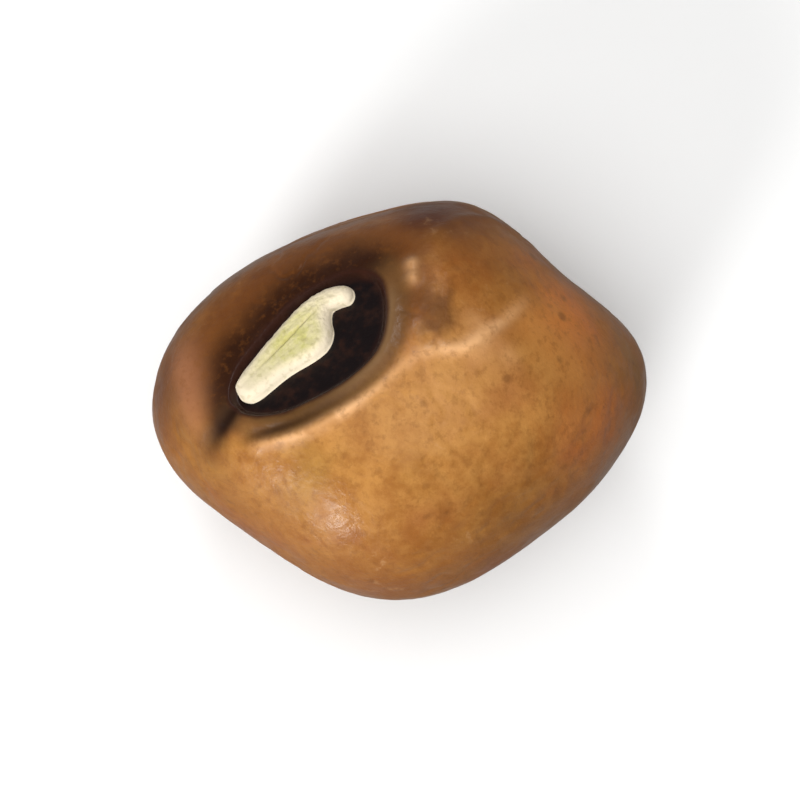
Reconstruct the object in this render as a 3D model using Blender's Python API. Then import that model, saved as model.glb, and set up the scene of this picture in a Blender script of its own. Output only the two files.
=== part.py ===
# A dry cowpea seed of the blunt-cornered crowder shape, lying on a small flat spot.
# It is one closed body: seed coat, sunken eye, cream pad, lens swelling and radicle bulge.
#
# Seed axes: u runs along the eye, v runs across it towards the side that the eye leans to, w is up.
# Part axes: +X is the seed's longest way, +Z is up, and the origin is on the surface that it lies on,
# under the middle of its box. Lengths below are in millimetres, and the mesh is made in metres.

import math

import bmesh
import bpy
import numpy as np

MM = 0.001

# The body: half sizes along u, v and w
HALF_LENGTH = 3.1
HALF_WIDTH = 3.13
HALF_HEIGHT = 3.05
LEAN = 0.09  # how far v slides for each step along u, so that two opposite corners stand out
PLAN_SQUARENESS = 2.7  # 2 gives an ellipse from above, more gives blunt corners
SIDE_SQUARENESS = 2.3
TURN_DEG = 42.0  # from +X to the eye's length, seen from above
REST_CUT = 0.11  # how much of the lowest point is worn flat

# Bulges: azimuth from u and elevation in degrees, rise as a share of the reach, spread in degrees
BULGES = (
    (154.0, 4.0, 0.14, 20.0),  # radicle, past the eye's narrow end
    (-32.0, -4.0, 0.12, 14.0),  # back corner, across from the radicle
)

# Faces pressed flat in the pod: azimuth and elevation of the normal in degrees, distance, crispness
EYE_FACE = (90.0, 52.0, 2.71, 30.0)
SIDE_FACE = (64.0, 4.0, 2.87, 14.0)  # beside the eye's wide end

# The eye: its middle's direction from the body's centre in degrees, and how far round it the relief goes
EYE_AZIMUTH = 115.0
EYE_ELEVATION = 47.0
EYE_SPREAD_DEG = 60.0

# Outlines in the eye's own plane: distance along the eye and across it from its middle
PAD_OUTLINE = (
    (-1.09, -0.07),
    (-1.06, -0.27),
    (-0.88, -0.40),
    (-0.30, -0.45),
    (0.22, -0.57),
    (0.52, -0.52),
    (0.74, -0.36),
    (0.89, -0.22),
    (1.20, -0.19),
    (1.37, -0.06),
    (1.34, 0.18),
    (1.02, 0.37),
    (0.52, 0.41),
    (-0.20, 0.30),
    (-0.95, 0.13),
)
BASIN_OUTLINE = (
    (-1.20, -0.04),
    (-1.15, -0.38),
    (-0.80, -0.74),
    (-0.27, -0.92),
    (0.40, -1.14),
    (1.04, -1.11),
    (1.56, -0.76),
    (1.86, -0.25),
    (1.76, 0.25),
    (1.20, 0.50),
    (0.50, 0.58),
    (-0.14, 0.49),
    (-0.84, 0.32),
)
PAD_RISE = 0.19  # above the basin's floor
BASIN_DEPTH = 0.11
BASIN_WALL = 0.12
LIP_RISE = 0.04
LIP_WIDTH = 0.10
LIP_OFFSET = 0.10  # from the basin's edge out to the lip's crest
CREASE_DEPTH = 0.035  # of the fine line outside the lip, on the side that faces up
CREASE_WIDTH = 0.06
CREASE_OFFSET = 0.29

# Low forms beside the eye: middle along and across, half width along and across, rise
LENS = (2.30, -0.50, 0.28, 0.24, 0.07)
TAIL = (-1.52, -0.18, 0.32, 0.12, -0.07)

SEGMENTS = 72
OUTLINE_STEPS = 12  # points between two corners of an outline
PAD_RINGS = (0.42, 0.75, 0.91, 0.98, 1.0)  # shares of the pad's reach
BASIN_RINGS = (0.12, 0.5, 0.84)  # shares of the way from the pad's edge to the basin's edge
LIP_RINGS = (0.0, 0.10, 0.20, 0.29, 0.38, 0.52)  # outwards from the basin's edge
BODY_RINGS = 26
CUT_TOLERANCE = 0.0001
CLEAN_DISTANCE = 0.03  # points of the rest spot's rim that lie closer than this are merged
SMOOTH_BELOW_DEG = 50.0

# Finishes from the middle of the eye outwards: name, colour, roughness
FINISHES = (
    ("eye_pad", (0.80, 0.75, 0.50, 1.0), 0.85),
    ("eye_basin", (0.012, 0.009, 0.010, 1.0), 0.30),
    ("seed_coat", (0.50, 0.25, 0.10, 1.0), 0.42),
)


def direction(azimuth_deg, elevation_deg):
    """Unit vector in the seed axes."""
    azimuth = math.radians(azimuth_deg)
    elevation = math.radians(elevation_deg)
    flat = math.cos(elevation)
    return np.array((flat * math.cos(azimuth), flat * math.sin(azimuth), math.sin(elevation)))


def unit(vectors):
    return vectors / np.linalg.norm(vectors, axis=1)[:, None]


def body_reach(rays):
    """Distance from the centre to the bare body along each unit ray."""
    along = np.abs(rays[:, 0]) / HALF_LENGTH
    across = np.abs(rays[:, 1] + LEAN * rays[:, 0]) / HALF_WIDTH
    up = np.abs(rays[:, 2]) / HALF_HEIGHT
    plan = (along**PLAN_SQUARENESS + across**PLAN_SQUARENESS) ** (1 / PLAN_SQUARENESS)
    reach = (plan**SIDE_SQUARENESS + up**SIDE_SQUARENESS) ** (-1 / SIDE_SQUARENESS)
    for azimuth, elevation, rise, spread in BULGES:
        angle = np.arccos(np.clip(rays @ direction(azimuth, elevation), -1, 1))
        reach = reach * (1 + rise * np.exp(-0.5 * (angle / math.radians(spread)) ** 2))
    for azimuth, elevation, distance, crispness in (EYE_FACE, SIDE_FACE):
        facing = np.clip(rays @ direction(azimuth, elevation), 0, 1)
        reach = (reach**-crispness + (facing / distance) ** crispness) ** (-1 / crispness)
    return reach


def eye_frame():
    """The eye's middle, its directions along and across, and its outward normal, in the seed axes."""
    normal = direction(*EYE_FACE[:2])
    ray = direction(EYE_AZIMUTH, EYE_ELEVATION)
    middle = body_reach(ray[None])[0] * ray
    along = np.array((1.0, 0.0, -normal[0] / normal[2]))
    along /= np.linalg.norm(along)
    return middle, along, np.cross(normal, along), normal


def smooth_outline(corners):
    """Points of a closed curve that passes smoothly through the corners."""
    here = np.array(corners)[:, None]
    before, after, beyond = (np.roll(here, shift, axis=0) for shift in (1, -1, -2))
    t = np.linspace(0, 1, OUTLINE_STEPS, endpoint=False)[None, :, None]
    linear = 0.5 * (after - before) * t
    square = (before - 2.5 * here + 2 * after - 0.5 * beyond) * t**2
    cube = (0.5 * (beyond - before) + 1.5 * (here - after)) * t**3
    return (here + linear + square + cube).reshape(-1, 2)


def outline_reach(corners, angles):
    """Distance from the eye's middle to a closed outline at each angle."""
    points = smooth_outline(corners)
    bearings = np.arctan2(points[:, 1], points[:, 0])
    order = np.argsort(bearings)
    reaches = np.hypot(points[:, 0], points[:, 1])
    return np.interp(angles, bearings[order], reaches[order], period=math.tau)


def smooth_step(value):
    value = np.clip(value, 0, 1)
    return value * value * (3 - 2 * value)


def eye_height(along, across):
    """Rise of the surface above the bare body, at places in the eye's plane."""
    distance = np.hypot(along, across)
    angle = np.arctan2(across, along)
    pad = outline_reach(PAD_OUTLINE, angle)
    basin = outline_reach(BASIN_OUTLINE, angle)
    height = -BASIN_DEPTH * smooth_step((basin - distance) / BASIN_WALL)
    height += PAD_RISE * np.sqrt(1 - np.clip(distance / pad, 0, 1) ** 4)
    height += LIP_RISE * np.exp(-(((distance - basin - LIP_OFFSET) / LIP_WIDTH) ** 2))
    crease = np.exp(-(((distance - basin - CREASE_OFFSET) / CREASE_WIDTH) ** 2))
    height -= CREASE_DEPTH * crease * smooth_step(-across)
    for middle_along, middle_across, wide, high, rise in (LENS, TAIL):
        off = ((along - middle_along) / wide) ** 2 + ((across - middle_across) / high) ** 2
        height += rise * np.exp(-off)
    return height


def seed_surface(rays):
    """Points of the finished surface along unit rays from the centre."""
    middle, along, across, normal = eye_frame()
    points = body_reach(rays)[:, None] * rays
    facing = rays @ normal
    near = facing > math.cos(math.radians(EYE_SPREAD_DEG))
    on_plane = rays[near] * ((middle @ normal) / facing[near])[:, None] - middle
    height = eye_height(on_plane @ along, on_plane @ across)
    points[near] += height[:, None] * normal
    return points


def ring_rays():
    """Unit rays, ring by ring: pad, basin, lip, and then round the body to just short of its far pole."""
    middle, along, across, _ = eye_frame()
    angles = np.arange(SEGMENTS) * math.tau / SEGMENTS
    pad = outline_reach(PAD_OUTLINE, angles)
    basin = outline_reach(BASIN_OUTLINE, angles)
    reaches = [pad * share for share in PAD_RINGS]
    reaches += [pad + (basin - pad) * share for share in BASIN_RINGS]
    reaches += [basin + offset for offset in LIP_RINGS]
    rings = []
    for reach in reaches:
        offset = np.outer(reach * np.cos(angles), along) + np.outer(reach * np.sin(angles), across)
        rings.append(unit(middle + offset))
    pole = unit(middle[None])[0]
    edge = rings[-1]
    edge_angle = np.arccos(edge @ pole)
    sideways = unit(edge - np.outer(edge @ pole, pole))
    for step in range(1, BODY_RINGS):
        angle = edge_angle + (math.pi - edge_angle) * step / BODY_RINGS
        rings.append(np.cos(angle)[:, None] * pole + np.sin(angle)[:, None] * sideways)
    return pole, rings


def part_points(points):
    """Seed axes in millimetres to part axes in metres, before the body is lowered onto its rest spot."""
    turn = math.radians(TURN_DEG)
    x = points[:, 0] * math.cos(turn) - points[:, 1] * math.sin(turn)
    y = points[:, 0] * math.sin(turn) + points[:, 1] * math.cos(turn)
    return np.stack((x, y, points[:, 2]), axis=1) * MM


def seed_mesh():
    """The closed seed as a bmesh, with the rest spot at z = 0 and the box's middle on the Z axis."""
    pole, rings = ring_rays()
    rays = np.concatenate([pole[None], *rings, -pole[None]])
    points = part_points(seed_surface(rays))
    points[:, 2] -= points[:, 2].min() + REST_CUT * MM
    low, high = points.min(axis=0), points.max(axis=0)
    points[:, :2] -= (low[:2] + high[:2]) / 2

    bm = bmesh.new()
    verts = [bm.verts.new(point) for point in points]
    loops = [verts[1 + i * SEGMENTS : 1 + (i + 1) * SEGMENTS] for i in range(len(rings))]
    for i in range(SEGMENTS):
        j = (i + 1) % SEGMENTS
        bm.faces.new((verts[0], loops[0][i], loops[0][j]))
        bm.faces.new((verts[-1], loops[-1][j], loops[-1][i])).material_index = 2
        for ring, (inner, outer) in enumerate(zip(loops, loops[1:]), start=1):
            face = bm.faces.new((inner[i], outer[i], outer[j], inner[j]))
            face.material_index = (ring >= len(PAD_RINGS)) + (ring > len(PAD_RINGS) + len(BASIN_RINGS))
    return bm


def wear_rest_spot(bm):
    """Cuts the body at z = 0 and closes the cut with one flat face."""
    geometry = bm.verts[:] + bm.edges[:] + bm.faces[:]
    bmesh.ops.bisect_plane(
        bm,
        geom=geometry,
        plane_co=(0, 0, 0),
        plane_no=(0, 0, -1),
        clear_outer=True,
        dist=CUT_TOLERANCE * MM,
    )
    rim = [vert for vert in bm.verts if vert.is_boundary]
    bmesh.ops.remove_doubles(bm, verts=rim, dist=CLEAN_DISTANCE * MM)
    edges = [edge for edge in bm.edges if edge.is_boundary]
    spot = bmesh.ops.contextual_create(bm, geom=edges)["faces"][0]
    spot.material_index = 2


def add_finish(mesh, name, colour, roughness):
    material = bpy.data.materials.new(name)
    material.use_nodes = True
    shader = material.node_tree.nodes["Principled BSDF"]
    shader.inputs["Base Color"].default_value = colour
    shader.inputs["Roughness"].default_value = roughness
    shader.inputs["Metallic"].default_value = 0.0
    mesh.materials.append(material)


def build_seed():
    bm = seed_mesh()
    wear_rest_spot(bm)
    bmesh.ops.recalc_face_normals(bm, faces=bm.faces)
    mesh = bpy.data.meshes.new("seed")
    bm.to_mesh(mesh)
    bm.free()
    mesh.shade_smooth()
    mesh.set_sharp_from_angle(angle=math.radians(SMOOTH_BELOW_DEG))
    for finish in FINISHES:
        add_finish(mesh, *finish)
    seed = bpy.data.objects.new("seed", mesh)
    bpy.context.scene.collection.objects.link(seed)


for old in list(bpy.data.objects):
    bpy.data.objects.remove(old, do_unlink=True)
build_seed()
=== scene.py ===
# One dry crowder cowpea on a pale table, seen from straight above.
# Sizes in the dictionaries are millimetres and degrees unless a note says otherwise.
import math

import bpy
import numpy as np
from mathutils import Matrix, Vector


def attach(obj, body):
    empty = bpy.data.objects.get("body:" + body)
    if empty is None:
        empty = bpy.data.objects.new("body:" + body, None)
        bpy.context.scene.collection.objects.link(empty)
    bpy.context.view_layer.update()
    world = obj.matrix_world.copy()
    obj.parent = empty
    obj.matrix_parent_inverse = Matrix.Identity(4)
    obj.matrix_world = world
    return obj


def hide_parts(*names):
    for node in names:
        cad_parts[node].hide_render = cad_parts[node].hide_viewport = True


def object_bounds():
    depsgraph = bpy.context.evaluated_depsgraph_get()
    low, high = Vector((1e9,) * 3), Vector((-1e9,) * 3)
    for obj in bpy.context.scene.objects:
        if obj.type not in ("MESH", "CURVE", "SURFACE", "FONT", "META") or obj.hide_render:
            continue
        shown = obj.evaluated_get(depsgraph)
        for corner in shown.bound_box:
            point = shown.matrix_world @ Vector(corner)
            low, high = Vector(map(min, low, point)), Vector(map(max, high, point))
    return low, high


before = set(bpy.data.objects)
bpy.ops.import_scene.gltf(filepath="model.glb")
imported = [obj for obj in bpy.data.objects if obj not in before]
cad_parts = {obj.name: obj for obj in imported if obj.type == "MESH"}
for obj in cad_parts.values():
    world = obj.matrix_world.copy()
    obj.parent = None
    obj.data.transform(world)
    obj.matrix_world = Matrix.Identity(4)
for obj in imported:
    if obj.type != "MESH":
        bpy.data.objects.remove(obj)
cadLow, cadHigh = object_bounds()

mm = 0.001

# node helpers


def wire(tree, value, socket):
    # a socket is linked, anything else becomes the socket's own value
    if isinstance(value, bpy.types.NodeSocket):
        tree.links.new(value, socket)
    else:
        socket.default_value = value


def addNode(tree, kind, inputs=None, **settings):
    node = tree.nodes.new(kind)
    for name, value in settings.items():
        setattr(node, name, value)
    for key, value in (inputs or {}).items():
        wire(tree, value, node.inputs[key])
    return node


def calc(tree, operation, *values):
    node = addNode(tree, "ShaderNodeMath", operation=operation)
    for socket, value in zip(node.inputs, values):
        wire(tree, value, socket)
    return node.outputs["Value"]


def product(tree, first, *others):
    for other in others:
        first = calc(tree, "MULTIPLY", first, other)
    return first


def vecCalc(tree, operation, *values):
    node = addNode(tree, "ShaderNodeVectorMath", operation=operation)
    for socket, value in zip(node.inputs, values):
        wire(tree, value, socket)
    return node.outputs["Value" if operation in ("DOT_PRODUCT", "LENGTH", "DISTANCE") else "Vector"]


def scaled(tree, vector, factor):
    inputs = {"Vector": vector, "Scale": factor}
    return addNode(tree, "ShaderNodeVectorMath", inputs, operation="SCALE").outputs["Vector"]


def splitXyz(tree, vector):
    return addNode(tree, "ShaderNodeSeparateXYZ", {"Vector": vector}).outputs


def ramp(tree, value, start, end, atStart=0.0, atEnd=1.0, smooth=True):
    # atStart where the value is at start, atEnd where it is at end, clamped beyond both
    inputs = {"Value": value, "From Min": start, "From Max": end, "To Min": atStart, "To Max": atEnd}
    kind = "SMOOTHSTEP" if smooth else "LINEAR"
    return addNode(tree, "ShaderNodeMapRange", inputs, interpolation_type=kind).outputs["Result"]


def bell(tree, value, middle, width):
    # a smooth hump of height 1 at the middle
    off = calc(tree, "DIVIDE", calc(tree, "SUBTRACT", value, middle), width)
    return calc(tree, "EXPONENT", product(tree, off, off, -1.0))


def perMetre(tree, pitch):
    # a pattern's pitch in millimetres, a number or a socket, as a texture's scale in metres
    if isinstance(pitch, bpy.types.NodeSocket):
        return calc(tree, "DIVIDE", 1 / mm, pitch)
    return 1 / (pitch * mm)


def noise(tree, place, pitch, seed, detail=2.0, roughness=0.5):
    shape = {"Scale": perMetre(tree, pitch), "Detail": detail, "Roughness": roughness}
    inputs = {"Vector": place, "W": seed} | shape
    return addNode(tree, "ShaderNodeTexNoise", inputs, noise_dimensions="4D").outputs[0]


def addInput(tree, name, value):
    kind = "NodeSocketVector" if isinstance(value, (tuple, list, Vector)) else "NodeSocketFloat"
    socket = tree.interface.new_socket(name=name, in_out="INPUT", socket_type=kind)
    socket.default_value = value


def newGeometryTree(name, values):
    tree = bpy.data.node_groups.new(name, "GeometryNodeTree")
    tree.interface.new_socket(name="Geometry", in_out="INPUT", socket_type="NodeSocketGeometry")
    tree.interface.new_socket(name="Geometry", in_out="OUTPUT", socket_type="NodeSocketGeometry")
    for key, value in values.items():
        addInput(tree, key, value)
    return tree, tree.nodes.new("NodeGroupInput").outputs, tree.nodes.new("NodeGroupOutput").inputs


def addTree(obj, tree, values):
    modifier = obj.modifiers.new(tree.name, "NODES")
    modifier.node_group = tree
    for item in tree.interface.items_tree:
        if item.in_out == "INPUT" and item.name in values:
            modifier[item.identifier] = values[item.name]


def attribute(tree, name, kind="FLOAT"):
    node = addNode(tree, "GeometryNodeInputNamedAttribute", {"Name": name}, data_type=kind)
    return node.outputs["Attribute"]


def shaderAttribute(tree, name, output="Fac"):
    return addNode(tree, "ShaderNodeAttribute", attribute_name=name).outputs[output]


def lineHump(tree, read, name, width):
    # the cross-section of a line on the coat: a hump of height 1 where the line is strong
    return product(tree, bell(tree, read(tree, name + "Off"), 0.0, width), read(tree, name + "Share"))


# the seed's form, as in the part's own rule: a blunt-cornered body with two bulges and two pressed faces


def direction(azimuth, elevation):
    a, e = math.radians(azimuth), math.radians(elevation)
    return Vector((math.cos(e) * math.cos(a), math.cos(e) * math.sin(a), math.sin(e)))


seedForm = {
    "Half Length": 3.1,
    "Half Width": 3.13,
    "Half Height": 3.05,
    "Lean": 0.09,  # how far two opposite corners stand out
    "Plan Squareness": 2.7,
    "Side Squareness": 2.3,
    "Radicle Direction": direction(154, 4),
    "Radicle Rise": 0.14,
    "Radicle Spread": 20.0,
    "Corner Direction": direction(-32, -4),
    "Corner Rise": 0.12,
    "Corner Spread": 14.0,
    "Eye Face Direction": direction(90, 52),
    "Eye Face Distance": 2.71,
    "Eye Face Crispness": 30.0,
    "Side Face Direction": direction(64, 4),
    "Side Face Distance": 2.87,
    "Side Face Crispness": 14.0,
    "Turn": 42.0,  # from +X to the eye's length
    "Rest Cut": 0.11,  # how much of the lowest point is worn flat
}
eyeRelief = {
    "Basin Depth": 0.11,
    "Basin Wall": 0.13,
    "Pad Rise": 0.19,
    "Pad Edge": 0.17,  # width over which the pad's edge rolls down
    "Lip Rise": 0.024,
    "Lip Width": 0.10,
    "Lip Offset": 0.12,
    "Lip Start": -0.3,  # across the eye, from here to Lip Full the lip comes in
    "Lip Full": -0.9,
    "Crease Depth": 0.04,
    "Crease Width": 0.10,
    "Fold Rise": 0.075,
    "Fold Width": 0.11,
    "Tail Depth": 0.06,
    "Tail Width": 0.11,
    "Keel Rise": 0.035,
    "Keel Width": 0.24,
    "Lens Rise": 0.085,
    "Lens Width": 0.13,
    "Lens Bump A": (2.13, -0.69, 0.0),  # the twin bumps past the eye's wide end
    "Lens Bump B": (2.27, -0.49, 0.0),
    "Raphe Rise": 0.030,
    "Raphe Width": 0.10,
}
eye = {
    "azimuth": 115.0,  # of the eye's middle, seen from the body's centre
    "elevation": 47.0,
    "spread": 60.0,
    "centre": (0.75, 0.10),  # from here every part of both outlines is in sight
    "padOutline": (
        (-1.09, -0.07), (-1.06, -0.27), (-0.88, -0.40), (-0.30, -0.45), (0.20, -0.57), (0.46, -0.56),
        (0.65, -0.42), (0.75, -0.22), (0.86, -0.09), (1.00, -0.12), (1.15, -0.20), (1.28, -0.14),
        (1.33, 0.01), (1.26, 0.15), (1.09, 0.28), (0.84, 0.37), (0.50, 0.40), (-0.20, 0.30), (-0.95, 0.13),
    ),
    "basinOutline": (
        (-1.26, -0.05), (-1.24, -0.46), (-0.86, -0.89), (-0.32, -1.15), (0.40, -1.34),
        (1.02, -1.28), (1.50, -0.86), (1.76, -0.32), (1.62, 0.12), (1.18, 0.41),
        (0.50, 0.56), (-0.14, 0.49), (-0.84, 0.32),
    ),
}
# lines on the coat around the eye: along and across the eye, then how strong the line is there
eyeLines = {
    # the long fold between the eye's hollow and the broad cheek
    "fold": (
        (-1.92, -0.84, 0.0), (-1.50, -1.02, 0.45), (-0.96, -1.38, 0.9), (-0.52, -1.58, 1.0),
        (0.02, -1.74, 1.0), (0.55, -1.81, 0.58), (1.10, -1.82, 0.36), (1.60, -1.94, 0.5),
        (2.27, -2.42, 1.0), (2.95, -2.55, 0.8), (4.18, -2.70, 0.4), (5.40, -2.70, 0.0),
    ),
    # the crease just inside the fold, darkened with painted shade
    "crease": (
        (-1.95, -0.66, 0.0), (-1.55, -0.80, 0.6), (-1.16, -1.02, 0.85), (-0.66, -1.28, 0.8),
        (-0.12, -1.46, 0.6), (0.34, -1.58, 0.4), (0.75, -1.60, 0.3), (1.15, -1.52, 0.2), (1.60, -1.25, 0.0),
    ),
    # the groove that runs on from the eye's narrow end
    "tail": (
        (-1.10, -0.16, 0.0), (-1.35, -0.24, 1.0), (-1.75, -0.25, 1.0), (-2.20, -0.20, 0.75),
        (-2.70, -0.12, 0.35), (-3.40, -0.02, 0.0),
    ),
    # the faint seam that runs on from the twin bumps over the seed's end
    "raphe": (
        (2.42, -0.42, 0.0), (2.75, -0.30, 0.6), (3.30, -0.14, 0.8), (4.20, 0.10, 1.0), (5.80, 0.25, 1.0),
        (8.50, 0.30, 0.9), (14.0, 0.20, 0.6), (30.0, -0.50, 0.0),
    ),
    # the rounded keel over the young root
    "keel": (
        (-1.10, 1.75, 0.0), (-1.38, 1.15, 0.9), (-1.60, 0.70, 1.0), (-1.95, 0.26, 0.8), (-2.50, -0.10, 0.0),
    ),
}
mesh = {
    "segments": 320,
    "padRings": 44,
    "basinRings": 30,
    "lipRings": 34,
    "lipReach": 0.60,
    "bodyRings": 180,
    "outlineSteps": 12,
    "lineSteps": 6,
    "bodyRadius": 3.1,  # turns an angle between rays into a length
    "farAway": 9.0,  # stands for any distance on the coat that is too long to matter
}


def reachAlong(ray):
    # the bare body's reach along one unit ray, for placing the eye
    form = seedForm
    square, side = form["Plan Squareness"], form["Side Squareness"]
    along = abs(ray.x) / form["Half Length"]
    across = abs(ray.y + form["Lean"] * ray.x) / form["Half Width"]
    plan = (along ** square + across ** square) ** (1 / square)
    reach = (plan ** side + (abs(ray.z) / form["Half Height"]) ** side) ** (-1 / side)
    for name in ("Radicle", "Corner"):
        angle = ray.angle(form[name + " Direction"]) / math.radians(form[name + " Spread"])
        reach *= 1 + form[name + " Rise"] * math.exp(-0.5 * angle ** 2)
    for name in ("Eye Face", "Side Face"):
        facing, crisp = max(ray.dot(form[name + " Direction"]), 0), form[name + " Crispness"]
        reach = (reach ** -crisp + (facing / form[name + " Distance"]) ** crisp) ** (-1 / crisp)
    return reach


def curveBetween(before, here, after, beyond, t):
    # from here to after, bent to suit the corners on either side
    bend = (before - 2.5 * here + 2 * after - 0.5 * beyond) * t**2
    twist = (0.5 * (beyond - before) + 1.5 * (here - after)) * t**3
    return here + 0.5 * (after - before) * t + bend + twist


def smoothOutline(corners):
    here = np.array(corners)[:, None]
    before, after, beyond = (np.roll(here, shift, axis=0) for shift in (1, -1, -2))
    t = np.linspace(0, 1, mesh["outlineSteps"], endpoint=False)[None, :, None]
    return curveBetween(before, here, after, beyond, t).reshape(-1, 2)


def smoothLine(corners):
    # the line through all corners, its ends included
    corners = np.array(corners)
    padded = np.concatenate([2 * corners[:1] - corners[1:2], corners, 2 * corners[-1:] - corners[-2:-1]])
    t = np.linspace(0, 1, mesh["lineSteps"], endpoint=False)[:, None, None]
    path = curveBetween(padded[:-3], padded[1:-2], padded[2:-1], padded[3:], t)
    return np.concatenate([path.transpose(1, 0, 2).reshape(-1, 3), corners[-1:]])


def outlineReach(outline, angles):
    bearings = np.arctan2(outline[:, 1], outline[:, 0])
    order = np.argsort(bearings)
    return np.interp(angles, bearings[order], np.hypot(*outline.T)[order], period=math.tau)


def insideDistance(places, outline):
    # distance to a closed outline, positive inside it
    nearest = np.full(len(places), np.inf)
    inside = np.zeros(len(places), dtype=bool)
    for start, end in zip(outline, np.roll(outline, -1, axis=0)):
        step, offset = end - start, places - start
        t = np.clip(offset @ step / (step @ step), 0, 1)
        nearest = np.minimum(nearest, np.linalg.norm(offset - t[:, None] * step, axis=1))
        crosses = (start[1] > places[:, 1]) != (end[1] > places[:, 1])
        rise = step[1] if step[1] != 0 else 1.0
        inside ^= crosses & (places[:, 0] < start[0] + (places[:, 1] - start[1]) * step[0] / rise)
    return np.where(inside, nearest, -nearest)


def unit(vectors):
    return vectors / np.linalg.norm(vectors, axis=1)[:, None]


def besideLine(rays, points, strength):
    # how far each ray is from a line on the coat, positive on its right, and how strong the line is there
    nearest = np.full(len(rays), mesh["farAway"])
    share, side = np.zeros(len(rays)), np.ones(len(rays))
    for i in range(len(points) - 1):
        step, offset = points[i + 1] - points[i], rays - points[i]
        t = np.clip(offset @ step / (step @ step), 0, 1)
        away = np.linalg.norm(offset - t[:, None] * step, axis=1)
        closer = away < nearest
        nearest[closer] = away[closer]
        share[closer] = (strength[i] + (strength[i + 1] - strength[i]) * t)[closer]
        side[closer] = np.sign(rays @ np.cross(step, points[i]))[closer]
    return nearest * side * mesh["bodyRadius"], np.clip(share, 0, 1)


def eyeFrame():
    # the eye's middle on the body, and the directions along it, across it and out of it
    normal = np.array(seedForm["Eye Face Direction"])
    ray = direction(eye["azimuth"], eye["elevation"])
    middle = np.array(ray) * reachAlong(ray)
    along = unit(np.array([[1.0, 0.0, -normal[0] / normal[2]]]))[0]
    return middle, along, np.cross(normal, along), normal


def seedRings(padLine, basinLine):
    # rings of unit rays that follow the pad and the basin, then spread over the body to its far pole
    middle, along, across, _ = eyeFrame()
    centre = np.array(eye["centre"])
    core = middle + centre[0] * along + centre[1] * across
    angles = np.arange(mesh["segments"]) * math.tau / mesh["segments"]
    pad, basin = outlineReach(padLine - centre, angles), outlineReach(basinLine - centre, angles)
    bands = (
        ("padRings", 0.0, pad),
        ("basinRings", pad, basin - pad),
        ("lipRings", basin, mesh["lipReach"]),
    )
    reaches = [
        start + width * step / mesh[rings]
        for rings, start, width in bands
        for step in range(1, mesh[rings] + 1)
    ]
    rings = [
        unit(core + np.outer(reach * np.cos(angles), along) + np.outer(reach * np.sin(angles), across))
        for reach in reaches
    ]
    pole = unit(core[None])[0]
    edge = rings[-1]
    edgeAngle = np.arccos(edge @ pole)
    sideways = unit(edge - np.outer(edge @ pole, pole))
    for step in range(1, mesh["bodyRings"]):
        angle = edgeAngle + (math.pi - edgeAngle) * step / mesh["bodyRings"]
        rings.append(np.cos(angle)[:, None] * pole + np.sin(angle)[:, None] * sideways)
    return pole, rings


def closedFaces(ringCount):
    # quads between neighbouring rings, and a fan of triangles round either pole
    count = mesh["segments"]
    here = np.arange(count)
    after = (here + 1) % count
    starts = [1 + ring * count for ring in range(ringCount)]
    quads = [
        np.stack([inner + here, outer + here, outer + after, inner + after], axis=1)
        for inner, outer in zip(starts, starts[1:])
    ]
    last = starts[-1]
    nearFan = np.stack([np.zeros(count, int), 1 + here, 1 + after], axis=1)
    farFan = np.stack([np.full(count, last + count), last + after, last + here], axis=1)
    return np.concatenate(quads).tolist() + nearFan.tolist() + farFan.tolist()


def rayMesh():
    # a closed mesh of unit rays, with the eye's own coordinates on it
    middle, along, across, normal = eyeFrame()
    padLine, basinLine = smoothOutline(eye["padOutline"]), smoothOutline(eye["basinOutline"])
    pole, rings = seedRings(padLine, basinLine)
    rays = np.concatenate([pole[None], *rings, -pole[None]])
    data = bpy.data.meshes.new("seedRays")
    data.from_pydata(rays.tolist(), [], closedFaces(len(rings)))

    def store(name, values, kind="FLOAT", field="value"):
        data.attributes.new(name, kind, "POINT").data.foreach_set(field, values.ravel())

    facing = rays @ normal
    near = facing > math.cos(math.radians(eye["spread"]))
    onPlane = rays[near] * ((middle @ normal) / facing[near])[:, None] - middle
    place = np.full((len(rays), 3), mesh["farAway"])
    place[near] = np.stack([onPlane @ along, onPlane @ across, np.zeros(near.sum())], axis=1)
    store("eyePlace", place, "FLOAT_VECTOR", "vector")
    for name, outline in (("padInside", padLine), ("basinInside", basinLine)):
        inside = np.full(len(rays), -mesh["farAway"])
        inside[near] = insideDistance(place[near, :2], outline)
        store(name, inside)
    for name, corners in eyeLines.items():
        path = smoothLine(corners)
        points = unit(middle + path[:, :1] * along + path[:, 1:2] * across)
        off, share = besideLine(rays, points, path[:, 2])
        store(name + "Off", off)
        store(name + "Share", share)
    print("rays laid out:", len(rays), "points")
    return data


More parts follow.
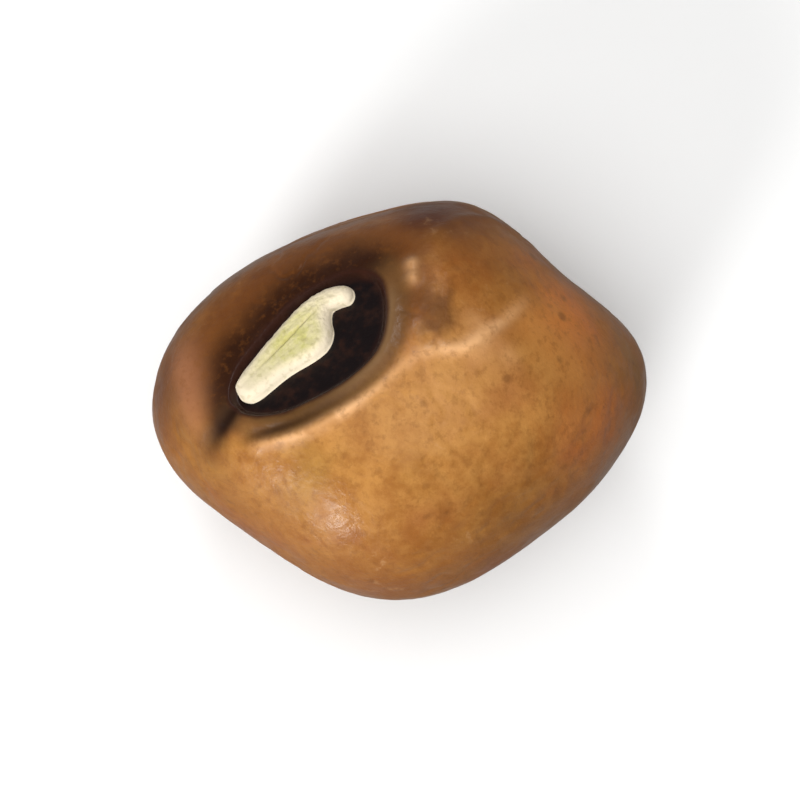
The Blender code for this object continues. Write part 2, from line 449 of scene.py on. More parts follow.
def bodyReachNodes(tree, given, ray):
    # the bare body's reach along each ray, and how strongly the eye's face is pressed there
    x, y, z = splitXyz(tree, ray)

    def power(base, exponent):
        return calc(tree, "POWER", base, exponent)

    leaning = calc(tree, "MULTIPLY_ADD", x, given["Lean"], y)
    along = calc(tree, "DIVIDE", calc(tree, "ABSOLUTE", x), given["Half Length"])
    across = calc(tree, "DIVIDE", calc(tree, "ABSOLUTE", leaning), given["Half Width"])
    up = calc(tree, "DIVIDE", calc(tree, "ABSOLUTE", z), given["Half Height"])
    square, side = given["Plan Squareness"], given["Side Squareness"]
    plan = calc(tree, "ADD", power(along, square), power(across, square))
    plan = power(plan, calc(tree, "DIVIDE", side, square))
    reach = power(calc(tree, "ADD", plan, power(up, side)), calc(tree, "DIVIDE", -1.0, side))
    for name in ("Radicle", "Corner"):
        angle = calc(tree, "ARCCOSINE", vecCalc(tree, "DOT_PRODUCT", ray, given[name + " Direction"]))
        spread = product(tree, calc(tree, "RADIANS", given[name + " Spread"]), math.sqrt(2))
        swell = calc(tree, "MULTIPLY_ADD", bell(tree, angle, 0.0, spread), given[name + " Rise"], 1.0)
        reach = product(tree, reach, swell)
    share = {}
    for name in ("Eye Face", "Side Face"):
        facing = calc(tree, "MAXIMUM", vecCalc(tree, "DOT_PRODUCT", ray, given[name + " Direction"]), 0.0)
        crisp = given[name + " Crispness"]
        # both terms are taken over the body's own reach, so that high powers stay in range
        pressed = calc(tree, "DIVIDE", product(tree, facing, reach), given[name + " Distance"])
        pressed = power(pressed, crisp)
        both = calc(tree, "ADD", pressed, 1.0)
        share[name] = calc(tree, "DIVIDE", pressed, both)
        reach = product(tree, reach, power(both, calc(tree, "DIVIDE", -1.0, crisp)))
    return reach, share["Eye Face"]


def eyeHeightNodes(tree, given):
    # how far the basin, the pad and the lip stand off the body
    padInside, basinInside = attribute(tree, "padInside"), attribute(tree, "basinInside")
    outside = product(tree, basinInside, -1.0)
    acrossEye = splitXyz(tree, attribute(tree, "eyePlace", "FLOAT_VECTOR"))["Y"]
    wall = ramp(tree, basinInside, 0.0, given["Basin Wall"])
    roll = ramp(tree, padInside, 0.0, given["Pad Edge"], 1.0, 0.0, smooth=False)
    cushion = calc(tree, "SQRT", calc(tree, "SUBTRACT", 1.0, product(tree, roll, roll)))
    onCheek = ramp(tree, acrossEye, given["Lip Start"], given["Lip Full"])
    lip = product(tree, bell(tree, outside, given["Lip Offset"], given["Lip Width"]), onCheek)
    height = product(tree, cushion, given["Pad Rise"])
    height = calc(tree, "SUBTRACT", height, product(tree, wall, given["Basin Depth"]))
    return calc(tree, "MULTIPLY_ADD", lip, given["Lip Rise"], height)


def lineHeightNodes(tree, given):
    # how far the lines and the twin bumps lift the coat along its rays, and the bumps as a mask
    eyePlace = attribute(tree, "eyePlace", "FLOAT_VECTOR")
    toBumps = [vecCalc(tree, "DISTANCE", eyePlace, given["Lens Bump " + letter]) for letter in "AB"]
    bumps = [bell(tree, distance, 0.0, given["Lens Width"]) for distance in toBumps]
    lens = calc(tree, "MINIMUM", calc(tree, "ADD", *bumps), 1.0)
    lift = product(tree, lens, given["Lens Rise"])
    for name in ("Fold", "Keel", "Raphe"):
        line = lineHump(tree, attribute, name.lower(), given[name + " Width"])
        lift = calc(tree, "MULTIPLY_ADD", line, given[name + " Rise"], lift)
    for name in ("Tail", "Crease"):
        line = lineHump(tree, attribute, name.lower(), given[name + " Width"])
        lift = calc(tree, "SUBTRACT", lift, product(tree, line, given[name + " Depth"]))
    return lift, lens


def seedFormTree():
    # places every ray's point on the seed, and rests the seed on z = 0
    tree, given, result = newGeometryTree("seedForm", seedForm | eyeRelief)
    ray = tree.nodes.new("GeometryNodeInputPosition").outputs["Position"]
    reach, eyeFace = bodyReachNodes(tree, given, ray)
    height = eyeHeightNodes(tree, given)
    lift, lens = lineHeightNodes(tree, given)
    point = scaled(tree, ray, calc(tree, "ADD", reach, lift))
    point = vecCalc(tree, "ADD", point, scaled(tree, given["Eye Face Direction"], height))
    turning = {"Vector": point, "Angle": calc(tree, "RADIANS", given["Turn"])}
    point = addNode(tree, "ShaderNodeVectorRotate", turning, rotation_type="Z_AXIS").outputs["Vector"]
    point = scaled(tree, point, mm)
    formed = given["Geometry"]
    for name, value in (("eyeFace", eyeFace), ("lens", lens)):
        inputs = {"Geometry": formed, "Name": name, "Value": value}
        node = addNode(tree, "GeometryNodeStoreNamedAttribute", inputs, data_type="FLOAT", domain="POINT")
        formed = node.outputs["Geometry"]
    formed = addNode(tree, "GeometryNodeSetPosition", {"Geometry": formed, "Position": point})
    formed = formed.outputs["Geometry"]

    box = addNode(tree, "GeometryNodeBoundBox", {"Geometry": formed}).outputs
    midX, midY, _ = splitXyz(tree, scaled(tree, vecCalc(tree, "ADD", box["Min"], box["Max"]), 0.5))
    floorZ = calc(tree, "MULTIPLY_ADD", given["Rest Cut"], mm, splitXyz(tree, box["Min"])["Z"])
    shift = addNode(tree, "ShaderNodeCombineXYZ", {"X": midX, "Y": midY, "Z": floorZ}).outputs["Vector"]
    here = tree.nodes.new("GeometryNodeInputPosition").outputs["Position"]
    # only z is held back, at the table's plane
    placed = vecCalc(tree, "MAXIMUM", vecCalc(tree, "SUBTRACT", here, shift), (-1.0, -1.0, 0.0))
    rested = addNode(tree, "GeometryNodeSetPosition", {"Geometry": formed, "Position": placed})
    wire(tree, rested.outputs["Geometry"], result["Geometry"])
    return tree


# the coat's fine relief: soft dents, faint wrinkles, crinkles in patches and the pad's spongy grain

coatRelief = {
    "Dent Size": 1.3,
    "Dent Height": 0.030,
    "Wrinkle Size": 0.30,
    "Wrinkle Height": 0.007,
    "Crinkle Size": 0.55,
    "Crinkle Height": 0.018,
    "Crinkle Edge": 0.07,  # how far from its middle the noise still makes a crease
    "Crinkle Seed": 12.0,
    "Patch Size": 1.9,  # of the places that have crinkles
    "Patch Start": 0.42,
    "Patch Full": 0.66,
    "Patch Seed": 16.0,
    "Sponge Size": 0.10,
    "Sponge Height": 0.022,
    "Slit Depth": 0.035,  # of the thin line down the pad
    "Slit Width": 0.030,
    "Slit Length": 0.6,
    "Slit Slope": 0.08,
    "Pad Margin": 0.06,  # in from the pad's edge, from nothing to full
    "Eye Margin": 0.5,  # out from the basin's edge
    "Table Margin": 0.3,  # up from the table
    "Seed": 7.0,
}


def coatReliefTree(coat, pad):
    tree, given, result = newGeometryTree("coatRelief", coatRelief)
    here = tree.nodes.new("GeometryNodeInputPosition").outputs["Position"]
    padInside = attribute(tree, "padInside")
    onPad = ramp(tree, padInside, 0.0, given["Pad Margin"])
    offEye = ramp(tree, product(tree, attribute(tree, "basinInside"), -1.0), 0.0, given["Eye Margin"])
    offTable = ramp(tree, calc(tree, "DIVIDE", splitXyz(tree, here)["Z"], mm), 0.0, given["Table Margin"])

    height = 0.0
    for name, mask, detail in (("Dent", offEye, 2.0), ("Wrinkle", offEye, 3.0), ("Sponge", onPad, 4.0)):
        value = noise(tree, here, given[name + " Size"], given["Seed"], detail)
        swing = calc(tree, "MULTIPLY_ADD", value, 2.0, -1.0)
        height = calc(tree, "MULTIPLY_ADD", swing, product(tree, given[name + " Height"], mask), height)
    # creases where the noise crosses its middle
    crossing = noise(tree, here, given["Crinkle Size"], given["Crinkle Seed"], detail=1.5)
    crossing = calc(tree, "ABSOLUTE", calc(tree, "SUBTRACT", crossing, 0.5))
    crease = ramp(tree, crossing, given["Crinkle Edge"], 0.0)
    patch = noise(tree, here, given["Patch Size"], given["Patch Seed"], detail=1.0)
    patch = ramp(tree, patch, given["Patch Start"], given["Patch Full"])
    crease = product(tree, crease, patch, offEye, given["Crinkle Height"])
    height = calc(tree, "SUBTRACT", height, crease)
    alongEye, acrossEye, _ = splitXyz(tree, attribute(tree, "eyePlace", "FLOAT_VECTOR"))
    slit = bell(tree, acrossEye, product(tree, alongEye, given["Slit Slope"]), given["Slit Width"])
    slit = product(tree, slit, bell(tree, alongEye, 0.0, given["Slit Length"]), onPad, given["Slit Depth"])
    height = calc(tree, "SUBTRACT", height, slit)

    normal = tree.nodes.new("GeometryNodeInputNormal").outputs["Normal"]
    offset = scaled(tree, normal, product(tree, height, offTable, mm))
    inPad = calc(tree, "GREATER_THAN", padInside, 0.0)
    formed = given["Geometry"]
    for kind, inputs in (
        ("GeometryNodeSetPosition", {"Offset": offset}),
        ("GeometryNodeSetShadeSmooth", {}),
        ("GeometryNodeRealizeInstances", {}),
        ("GeometryNodeSetMaterial", {"Material": coat}),
        ("GeometryNodeSetMaterial", {"Material": pad, "Selection": inPad}),
    ):
        formed = addNode(tree, kind, {"Geometry": formed} | inputs).outputs["Geometry"]
    wire(tree, formed, result["Geometry"])
    return tree


# materials


def srgb(red, green, blue):
    # screen colour, 0 to 255, to the linear colour that shaders use
    def linear(value):
        value /= 255
        return value / 12.92 if value <= 0.04045 else ((value + 0.055) / 1.055) ** 2.4
    return (linear(red), linear(green), linear(blue), 1.0)


def mixColour(tree, factor, first, second):
    node = addNode(tree, "ShaderNodeMix", data_type="RGBA")
    for socket, value in zip((node.inputs[0], node.inputs[6], node.inputs[7]), (factor, first, second)):
        wire(tree, value, socket)
    return node.outputs[2]


def newMaterial(name, look):
    material = bpy.data.materials.new(name)
    material.use_nodes = True
    tree = material.node_tree
    shader = tree.nodes["Principled BSDF"]
    shader.inputs["Specular IOR Level"].default_value = look["specular"]
    shader.inputs["Roughness"].default_value = look["roughness"]
    return material, tree, shader


def addGrain(tree, shader, height, depth):
    bump = addNode(tree, "ShaderNodeBump", {"Height": height, "Distance": depth * mm, "Strength": 1.0})
    wire(tree, bump.outputs["Normal"], shader.inputs["Normal"])


mottleSizes = {
    "Blotch Size": 0.42,
    "Fleck Size": 0.12,
    "Speck Size": 0.42,
    "Pebble Size": 0.11,
    "Grain Size": 0.03,
    "Seed": 1.0,
}
mottleShape = {
    # detail and roughness of the noise, then where it starts to count and where it counts in full
    "Blotch": (6.0, 0.72, 0.33, 0.67),
    "Fleck": (3.0, 0.6, 0.50, 0.68),
    "speckless": 0.4,  # share of the cells with no more than a faint dot
    "speckRadius": 0.26,  # of the largest speck, over the cell's width
    "speckRagged": 0.16,  # how uneven a speck's outline is, over the cell's width
    "speckEdge": (0.05, -0.16),  # outside and inside a speck's outline, from nothing to full
    "pebbleGrain": 0.25,  # how much of the finest grain lies on the pebbles
}


def mottleGroup():
    # blotches, flecks and small round specks over the surface, as masks, and a pebbled grain as a height
    shape = mottleShape
    tree = bpy.data.node_groups.new("mottle", "ShaderNodeTree")
    tree.interface.new_socket(name="Vector", in_out="INPUT", socket_type="NodeSocketVector")
    for name, value in mottleSizes.items():
        addInput(tree, name, value)
    for name in ("Blotch", "Fleck", "Speck", "Pebble"):
        tree.interface.new_socket(name=name, in_out="OUTPUT", socket_type="NodeSocketFloat")
    given, result = tree.nodes.new("NodeGroupInput").outputs, tree.nodes.new("NodeGroupOutput").inputs

    def pattern(name, detail, roughness=0.5):
        return noise(tree, given["Vector"], given[name + " Size"], given["Seed"], detail, roughness)

    for name in ("Blotch", "Fleck"):
        detail, roughness, start, full = shape[name]
        wire(tree, ramp(tree, pattern(name, detail, roughness), start, full), result[name])
    scale = perMetre(tree, given["Speck Size"])
    cells = addNode(tree, "ShaderNodeTexVoronoi", {"Vector": given["Vector"], "Scale": scale}).outputs
    chance = addNode(tree, "ShaderNodeSeparateColor", {"Color": cells["Color"]}).outputs["Red"]
    radius = ramp(tree, chance, shape["speckless"], 1.0, 0.0, shape["speckRadius"], smooth=False)
    ragged = calc(tree, "SUBTRACT", pattern("Grain", 1.0), 0.5)
    fromCentre = calc(tree, "MULTIPLY_ADD", ragged, shape["speckRagged"], cells["Distance"])
    speck = ramp(tree, calc(tree, "SUBTRACT", fromCentre, radius), *shape["speckEdge"])
    wire(tree, speck, result["Speck"])
    grain, pebble = pattern("Grain", 2.0, 0.6), pattern("Pebble", 2.0)
    wire(tree, calc(tree, "MULTIPLY_ADD", grain, shape["pebbleGrain"], pebble), result["Pebble"])
    return tree


coatLook = {
    "light": srgb(184, 129, 65),
    "mid": srgb(155, 99, 42),
    "lipNear": srgb(84, 58, 30),
    "lipFar": srgb(128, 98, 66),
    "lipShare": 0.7,
    "lipWander": 0.12,
    "lipMiddle": 0.08,  # out from the basin's edge
    "lipWidth": 0.10,
    "basinFloor": srgb(14, 5, 6),
    "basinRim": srgb(48, 22, 12),
    "basinWorn": srgb(52, 28, 18),
    "wornShare": 0.55,
    "shadedEdgeHeight": 2.9,  # of the edge between the two cheeks, round which painted shade darkens the coat
    "blotPlace": (2.1, -1.35, 0.0),
    "keelWidth": 0.22,
    "foldWidth": 0.11,
    "raggedPitch": 0.34,  # of the gaps along the painted highlight on the fold's crest
    "raggedSeed": 41.0,
    "raggedLeast": 0.45,  # what a gap leaves of the crest's painted highlight
    "rapheWidth": 0.10,
    "creaseWidth": 0.10,
    "tailWidth": 0.17,
    "tailDullWidth": 0.14,
    "wanderPitch": 0.5,  # of the noise that makes the layers' edges wander
    "wanderSeed": 3.0,
    "warpPitch": 0.9,  # of the noise that pulls the soft patches out of round
    "warpReach": 1.4,
    "roughness": 0.29,
    "dullRoughness": 0.46,
    "tailRoughness": 0.65,
    "blotRoughness": 0.2,  # on top of the coat's own
    "basinRoughness": 0.36,
    "specular": 0.25,
    "grainHeight": 0.010,
}
# the coat's layers: colour, then how much of it shows where the layer is full
coatTints = {
    # painted shade: a darker band round the seed's widest edge
    "shadedEdge": (srgb(148, 88, 36), 0.6),
    "olive": (srgb(140, 102, 42), 0.3),
    "rose": (srgb(148, 82, 50), 0.5),
    # the eye's face: partly its own darker brown, partly painted shade where it tilts away
    "eyeFaceBrownAndShade": (srgb(112, 64, 26), 0.85),
    "blot": (srgb(84, 44, 14), 0.75),
    # painted shade: darker across the eye on its far side from the cheek
    "browShade": (srgb(78, 40, 22), 0.45),
    # beside the eye on its far side from the cheek: partly a dark halo round the eye, partly painted shade
    "eyeShade": (srgb(40, 15, 3), 0.95),
    # painted highlight: a paler, pinker streak along the keel's ridge
    "keel": (srgb(160, 106, 72), 0.8),
    # painted highlight: a pale line along the fold's crest
    "crestHighlight": (srgb(232, 178, 124), 0.95),
    "raphe": (srgb(104, 62, 26), 0.35),
    # painted highlight on the twin bumps past the eye's wide end
    "lens": (srgb(232, 178, 124), 0.5),
    "fleck": (srgb(118, 70, 28), 0.30),
    "speck": (srgb(104, 62, 26), 0.5),
    "rub": (srgb(206, 160, 112), 0.35),
    "hollow": (srgb(96, 70, 40), 0.6),
    # painted shade: near black along the crease inside the fold
    "crease": (srgb(32, 13, 2), 1.0),
    # painted shade: near black along the tail's groove
    "tail": (srgb(32, 13, 2), 1.0),
}
# where a layer starts and where it is full, by a distance or a share, and how far its edge wanders
coatReach = {
    "shadedEdge": (2.6, 0.9, 1.2),  # above or below the height of the painted shade's band
    "eyeFaceBrownAndShade": (0.30, 0.90, 0.9),  # how strongly the eye's face is pressed
    "blot": (0.65, 0.15, 1.2),  # from the blot's place
    "nearEye": (5.0, 1.8, 2.0),  # from the eye's middle
    "browShade": (0.3, 1.9, 2.0),  # across the eye, as the next three
    "browSide": (-0.5, 0.0, 0.0),
    "cheekSide": (0.2, -0.4, 0.0),
    "lipSide": (eyeRelief["Lip Start"], eyeRelief["Lip Full"], 0.0),
    "lipFar": (-0.6, 0.9, 0.0),  # along the eye
    "eyeShade": (0.85, 0.15, 0.5),  # out from the basin's edge, as the next two
    "hollow": (0.55, 0.25, 0.0),
    "offEye": (0.7, 1.1, 0.0),
    "basin": (-0.09, 0.03, 0.08),  # in from the basin's edge, as the next one
    "basinFloor": (0.0, 0.22, 0.2),
    "crestGap": (0.34, 0.54, 0.0),  # the noise along the crest
    "tailDull": (0.0, 0.6, 0.0),  # how strong the tail's groove is
}
# cloudy noise: pitch, random seed, where it starts to count and where it counts in full
coatClouds = {
    "olive": (2.2, 11.0, 0.50, 0.72),
    "rose": (1.8, 23.0, 0.52, 0.72),
    "rub": (0.16, 31.0, 0.56, 0.72),
    "rubPlace": (1.6, 37.0, 0.52, 0.68),
    "dull": (0.7, 53.0, 0.42, 0.66),
    "basinWorn": (0.22, 67.0, 0.46, 0.70),
}
# large soft patches of the coat: where, how wide, colour, share
coatPatches = {
    "brown end": ((1.9, -1.7, 4.5), 1.5, srgb(112, 70, 26), 0.55),
    # painted shade along the seed's south edge
    "painted shade south edge": ((0.0, -2.8, 4.2), 1.2, srgb(128, 70, 24), 0.6),
    "rose end": ((3.0, -0.2, 4.6), 0.8, srgb(216, 120, 62), 0.42),
    "rose cheek": ((2.5, -0.7, 4.6), 0.6, srgb(164, 92, 50), 0.5),
    "rose corner": ((2.6, 1.4, 4.5), 0.7, srgb(232, 128, 54), 0.6),
    "tan shoulder": ((2.2, 0.9, 5.0), 0.8, srgb(196, 132, 66), 0.6),
    "olive cheek": ((-1.3, -1.1, 5.4), 0.5, srgb(150, 114, 52), 0.5),
    "olive end": ((3.6, 0.5, 3.7), 0.4, srgb(130, 90, 26), 0.5),
    # the facet past the eye's wide end: its own brown, partly painted shade
    "brown facet with painted shade": ((1.1, 1.9, 5.2), 0.9, srgb(142, 77, 26), 0.5),
    # painted shade along the seed's north edge
    "painted shade north edge": ((0.6, 2.9, 4.2), 0.9, srgb(90, 46, 24), 0.7),
    # painted highlight on the shoulder past the fold
    "painted highlight shoulder": ((1.2, 0.9, 5.8), 0.35, srgb(222, 166, 112), 0.5),
    # painted light: paler on the top of the cheek, where it faces up
    "painted light cheek": ((0.7, 0.1, 5.9), 0.9, srgb(200, 145, 82), 0.5),
    # painted shade along the seed's north edge
    "painted shade crown edge": ((0.5, 2.9, 4.6), 0.75, srgb(74, 30, 12), 0.8),
    # painted shade along the seed's root end
    "painted shade root end": ((-3.7, 0.0, 4.1), 0.7, srgb(98, 56, 28), 0.75),
    "dark tip": ((-2.75, -0.35, 4.9), 0.40, srgb(70, 36, 8), 0.7),
}


def coatMaterial(mottle):
    look = coatLook
    material, tree, shader = newMaterial("seedCoat", look)
    place = tree.nodes.new("ShaderNodeTexCoord").outputs["Object"]
    masks = addNode(tree, "ShaderNodeGroup", {"Vector": place}, node_tree=mottle).outputs
    wander = noise(tree, place, look["wanderPitch"], look["wanderSeed"], detail=3.0, roughness=0.6)
    wander = calc(tree, "SUBTRACT", wander, 0.5)
    inside = shaderAttribute(tree, "basinInside")
    outside = product(tree, inside, -1.0)
    eyePlace = shaderAttribute(tree, "eyePlace", "Vector")
    alongEye, acrossEye, _ = splitXyz(tree, eyePlace)

    def clouds(name):
        pitch, seed, start, full = coatClouds[name]
        return ramp(tree, noise(tree, place, pitch, seed, detail=3.0, roughness=0.55), start, full)

    def within(name, value):
        start, full, amount = coatReach[name]
        return ramp(tree, calc(tree, "MULTIPLY_ADD", wander, amount, value), start, full)

    def onLine(name):
        return lineHump(tree, shaderAttribute, name, look[name + "Width"])

    def tinted(colour, layers):
        for name, mask in layers.items():
            tint, share = coatTints[name]
            colour = mixColour(tree, product(tree, mask, share), colour, tint)
        return colour

    height = calc(tree, "DIVIDE", splitXyz(tree, place)["Z"], mm)
    fromShadedEdge = calc(tree, "ABSOLUTE", calc(tree, "SUBTRACT", height, look["shadedEdgeHeight"]))
    colour = mixColour(tree, masks["Blotch"], look["mid"], look["light"])
    # painted shade darkens the band round the seed's widest edge
    colour = tinted(colour, {"shadedEdge": within("shadedEdge", fromShadedEdge), "olive": clouds("olive"), "rose": clouds("rose")})
    inputs = {"Vector": place, "Scale": perMetre(tree, look["warpPitch"]), "Detail": 3.0}
    warp = addNode(tree, "ShaderNodeTexNoise", inputs).outputs["Color"]
    warp = scaled(tree, vecCalc(tree, "SUBTRACT", warp, (0.5, 0.5, 0.5)), look["warpReach"] * mm)
    warped = vecCalc(tree, "ADD", place, warp)
    # some patches are painted shade along the edges, painted light on the cheek's top and a painted highlight
    # on the shoulder
    for centre, width, tint, share in coatPatches.values():
        off = vecCalc(tree, "DISTANCE", warped, Vector(centre) * mm)
        colour = mixColour(tree, product(tree, bell(tree, off, 0.0, width * mm), share), colour, tint)

    blot = within("blot", vecCalc(tree, "DISTANCE", eyePlace, look["blotPlace"]))
    nearEye = within("nearEye", vecCalc(tree, "LENGTH", eyePlace))
    gaps = within("crestGap", noise(tree, place, look["raggedPitch"], look["raggedSeed"]))
    gaps = ramp(tree, gaps, 0.0, 1.0, look["raggedLeast"], 1.0, smooth=False)
    # pale dull rubs, where the coat has been scraped
    rub = product(tree, clouds("rub"), clouds("rubPlace"), within("offEye", outside))
    colour = tinted(colour, {
        # the eye's face: own darker brown with painted shade
        "eyeFaceBrownAndShade": within("eyeFaceBrownAndShade", shaderAttribute(tree, "eyeFace")),
        "blot": blot,
        # painted shade on the eye's far side from the cheek
        "browShade": product(tree, within("browShade", acrossEye), nearEye),
        # dark halo beside the eye, partly painted shade
        "eyeShade": product(tree, within("eyeShade", outside), within("browSide", acrossEye)),
        # painted highlight along the keel
        "keel": onLine("keel"),
        # painted highlight along the fold's crest, broken by gaps
        "crestHighlight": product(tree, onLine("fold"), gaps),
        "raphe": onLine("raphe"),
        # painted highlight on the twin bumps
        "lens": shaderAttribute(tree, "lens"),
        "fleck": masks["Fleck"],
        "speck": masks["Speck"],
        "rub": rub,
        "hollow": product(tree, within("hollow", outside), within("cheekSide", acrossEye)),
    })
    lip = calc(tree, "MULTIPLY_ADD", wander, look["lipWander"], outside)
    lip = bell(tree, lip, look["lipMiddle"], look["lipWidth"])
    lip = product(tree, lip, within("lipSide", acrossEye), look["lipShare"])
    lipTint = mixColour(tree, within("lipFar", alongEye), look["lipNear"], look["lipFar"])
    colour = mixColour(tree, lip, colour, lipTint)
    # painted shade along the crease and the tail's groove
    colour = tinted(colour, {"crease": onLine("crease"), "tail": onLine("tail")})
    basin = mixColour(tree, within("basinFloor", inside), look["basinRim"], look["basinFloor"])
    basin = mixColour(tree, product(tree, clouds("basinWorn"), look["wornShare"]), basin, look["basinWorn"])
    inBasin = within("basin", inside)
    wire(tree, mixColour(tree, inBasin, colour, basin), shader.inputs["Base Color"])

    dull = calc(tree, "MAXIMUM", clouds("dull"), rub)
    sheen = ramp(tree, dull, 0.0, 1.0, look["roughness"], look["dullRoughness"])
    inTail = within("tailDull", lineHump(tree, shaderAttribute, "tail", look["tailDullWidth"]))
    sheen = ramp(tree, inTail, 0.0, 1.0, sheen, look["tailRoughness"], smooth=False)
    sheen = calc(tree, "MULTIPLY_ADD", blot, look["blotRoughness"], sheen)
    wire(tree, ramp(tree, inBasin, 0.0, 1.0, sheen, look["basinRoughness"]), shader.inputs["Roughness"])
    addGrain(tree, shader, masks["Pebble"], look["grainHeight"])
    return material


padLook = {
    "edge": srgb(232, 217, 190),
    "middle": srgb(200, 194, 118),
    "grain": srgb(160, 148, 86),
    "greenEdge": (0.02, 0.24),  # in from the pad's edge, from nothing to full
    "greenMiddle": 0.12,  # along the eye
    "greenReach": 0.75,
    "greenLeast": 0.6,  # what the blotches leave of it
    "grainPitch": 0.09,
    "grainSeed": 61.0,
    "grainEdge": (0.52, 0.70),  # of the noise, from nothing to full
    "grainShare": 0.30,
    "markWidth": 0.035,  # of the faint mark along the slit
    "markShare": 0.35,
    "blotchSize": 0.25,
    "pebbleSize": 0.06,
    "roughness": 0.75,
    "specular": 0.3,
    "grainHeight": 0.006,
}


def padMaterial(mottle):
    look = padLook
    material, tree, shader = newMaterial("eyePad", look)
    place = tree.nodes.new("ShaderNodeTexCoord").outputs["Object"]
    inputs = {"Vector": place, "Blotch Size": look["blotchSize"], "Pebble Size": look["pebbleSize"]}
    masks = addNode(tree, "ShaderNodeGroup", inputs, node_tree=mottle).outputs
    alongEye, acrossEye, _ = splitXyz(tree, shaderAttribute(tree, "eyePlace", "Vector"))
    green = product(
        tree,
        ramp(tree, shaderAttribute(tree, "padInside"), *look["greenEdge"]),
        bell(tree, alongEye, look["greenMiddle"], look["greenReach"]),
        ramp(tree, masks["Blotch"], 0.0, 1.0, 1.0, look["greenLeast"]),
    )
    colour = mixColour(tree, green, look["edge"], look["middle"])
    grain = noise(tree, place, look["grainPitch"], look["grainSeed"])
    grain = ramp(tree, grain, *look["grainEdge"])
    colour = mixColour(tree, product(tree, grain, look["grainShare"]), colour, look["grain"])
    mark = bell(tree, acrossEye, product(tree, alongEye, coatRelief["Slit Slope"]), look["markWidth"])
    mark = product(tree, mark, bell(tree, alongEye, 0.0, coatRelief["Slit Length"]), look["markShare"])
    wire(tree, mixColour(tree, mark, colour, look["grain"]), shader.inputs["Base Color"])
    addGrain(tree, shader, masks["Pebble"], look["grainHeight"])
    return material


def addObject(name, data):
    holder = bpy.data.objects.new(name, data)
    bpy.context.scene.collection.objects.link(holder)
    return holder


def buildSeed():
    mottle = mottleGroup()
    coat, pad = coatMaterial(mottle), padMaterial(mottle)
    print("coat and pad coloured")
    maker = addObject("seedMaker", rayMesh())
    addTree(maker, seedFormTree(), seedForm | eyeRelief)
    addTree(maker, coatReliefTree(coat, pad), coatRelief)
    depsgraph = bpy.context.evaluated_depsgraph_get()
    shaped = maker.evaluated_get(depsgraph)
    data = bpy.data.meshes.new_from_object(shaped, preserve_all_data_layers=True, depsgraph=depsgraph)
    bpy.data.objects.remove(maker, do_unlink=True)
    data.name = "whole_seed"
    seed = addObject("whole_seed", data)
    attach(seed, "root")
    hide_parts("seed")
    print("seed made:", len(data.polygons), "faces,", [m.name for m in data.materials])


# the pale table, the lamps and the camera

table = {
    "width": 600.0,
    "colour": (0.92, 0.92, 0.915, 1.0),
    "bounce": (0.28, 0.28, 0.28, 1.0),  # what the table sends back to the seed
    "roughness": 0.8,
    "specular": 0.5,
    "fadeStart": 14.0,  # from here to fadeEnd it turns into the plain white of the background
    "fadeEnd": 45.0,
}
sky = {
    "colour": (1.0, 1.0, 1.0, 1.0),
    "fill": 0.12,
    "sheen": 0.20,  # of the surroundings where the coat mirrors them
}
northLean = math.radians(48)  # of the north lamp, off the vertical
# where each lamp stands as seen from the seed, whether it lights surfaces and whether they mirror it
lamps = {
    "southLamp": {
        "toLamp": (-0.50, -0.72, 0.50), "distance": 220.0, "width": 80.0, "power": 0.33,
        "lights": True, "shines": False,
    },
    "glintLamp": {  # mirrored low on the cheek
        "toLamp": (-0.53, -0.80, 0.22), "distance": 220.0, "width": 40.0, "power": 0.20,
        "lights": False, "shines": True,
    },
    "northLamp": {
        "toLamp": (-0.15, math.sin(northLean), math.cos(northLean)),
        "distance": 220.0, "width": 60.0, "power": 0.09, "lights": True, "shines": True,
    },
    "skyBox": {
        "toLamp": (-0.1, 0.0, 1.0), "distance": 260.0, "width": 260.0, "power": 0.66,
        "lights": True, "shines": False,
    },
}
view = {
    "lens": 300.0,
    "sensor": 36.0,
    "frameWidth": 12.6,  # what the picture spans at the seed's middle
    "nearest": 1.0,
    "farthest": 10000.0,
}


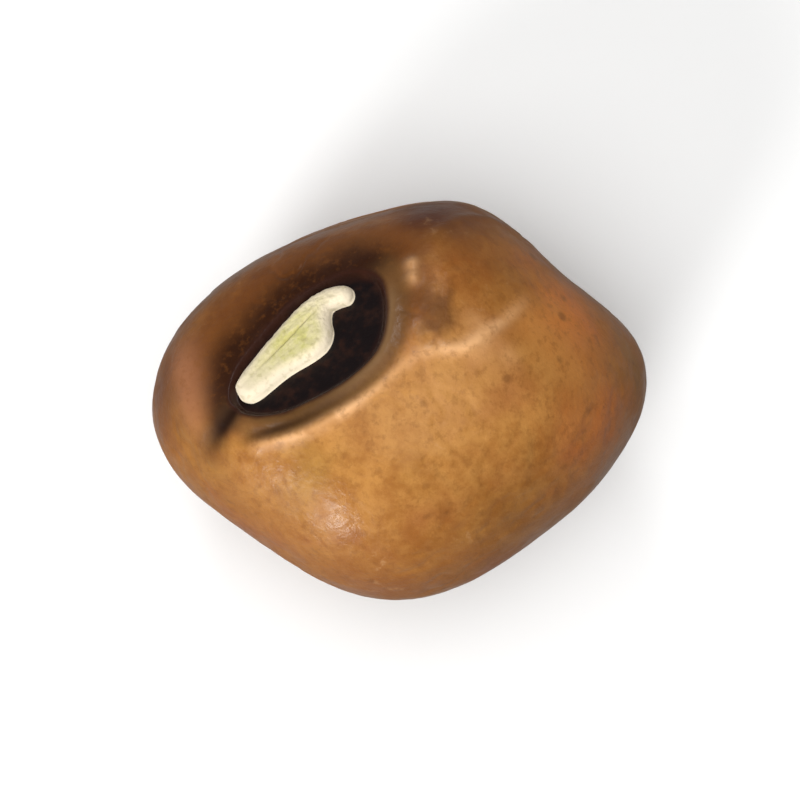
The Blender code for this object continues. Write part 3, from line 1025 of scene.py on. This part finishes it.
def buildTable():
    half = table["width"] / 2 * mm
    data = bpy.data.meshes.new("floor")
    corners = [(-half, -half, 0), (half, -half, 0), (half, half, 0), (-half, half, 0)]
    data.from_pydata(corners, [], [(0, 1, 2, 3)])
    floor = addObject("floor", data)
    material, tree, shader = newMaterial("paleTable", table)
    onCamera = tree.nodes.new("ShaderNodeLightPath").outputs["Is Camera Ray"]
    wire(tree, mixColour(tree, onCamera, table["bounce"], table["colour"]), shader.inputs["Base Color"])
    away = vecCalc(tree, "LENGTH", tree.nodes.new("ShaderNodeTexCoord").outputs["Object"])
    faded = product(tree, ramp(tree, away, table["fadeStart"] * mm, table["fadeEnd"] * mm), onCamera)
    glow = addNode(tree, "ShaderNodeEmission", {"Color": sky["colour"]}).outputs["Emission"]
    fade = addNode(tree, "ShaderNodeMixShader", {0: faded, 1: shader.outputs["BSDF"], 2: glow})
    wire(tree, fade.outputs["Shader"], tree.nodes["Material Output"].inputs["Surface"])
    data.materials.append(material)


def buildSky():
    world = bpy.data.worlds.new("studio")
    bpy.context.scene.world = world
    world.use_nodes = True
    tree = world.node_tree
    background = tree.nodes["Background"].inputs
    background["Color"].default_value = sky["colour"]
    path = tree.nodes.new("ShaderNodeLightPath").outputs
    strength = ramp(tree, path["Is Glossy Ray"], 0.0, 1.0, sky["fill"], sky["sheen"])
    wire(tree, ramp(tree, path["Is Camera Ray"], 0.0, 1.0, strength, 1.0), background["Strength"])


def addLamp(name, lamp):
    light = bpy.data.lights.new(name, "AREA")
    light.shape = "SQUARE"
    light.size = lamp["width"] * mm
    light.energy = lamp["power"]
    holder = addObject(name, light)
    holder.visible_diffuse = lamp["lights"]
    holder.visible_glossy = lamp["shines"]
    toLamp = Vector(lamp["toLamp"]).normalized()
    holder.location = toLamp * lamp["distance"] * mm
    holder.rotation_euler = toLamp.to_track_quat("Z", "Y").to_euler()


def addCamera():
    # straight over the middle of the seed
    camera = bpy.data.cameras.new("camera")
    camera.lens, camera.sensor_width = view["lens"], view["sensor"]
    camera.clip_start, camera.clip_end = view["nearest"] * mm, view["farthest"] * mm
    holder = addObject("camera", camera)
    height = view["frameWidth"] * mm * camera.lens / camera.sensor_width
    holder.location = (cadLow + cadHigh) / 2 + Vector((0, 0, height))
    bpy.context.scene.camera = holder


def buildStudio():
    buildTable()
    buildSky()
    for name, lamp in lamps.items():
        addLamp(name, lamp)
    addCamera()
    bpy.context.scene.view_settings.view_transform = "Standard"
    print("studio made")


buildSeed()
buildStudio()
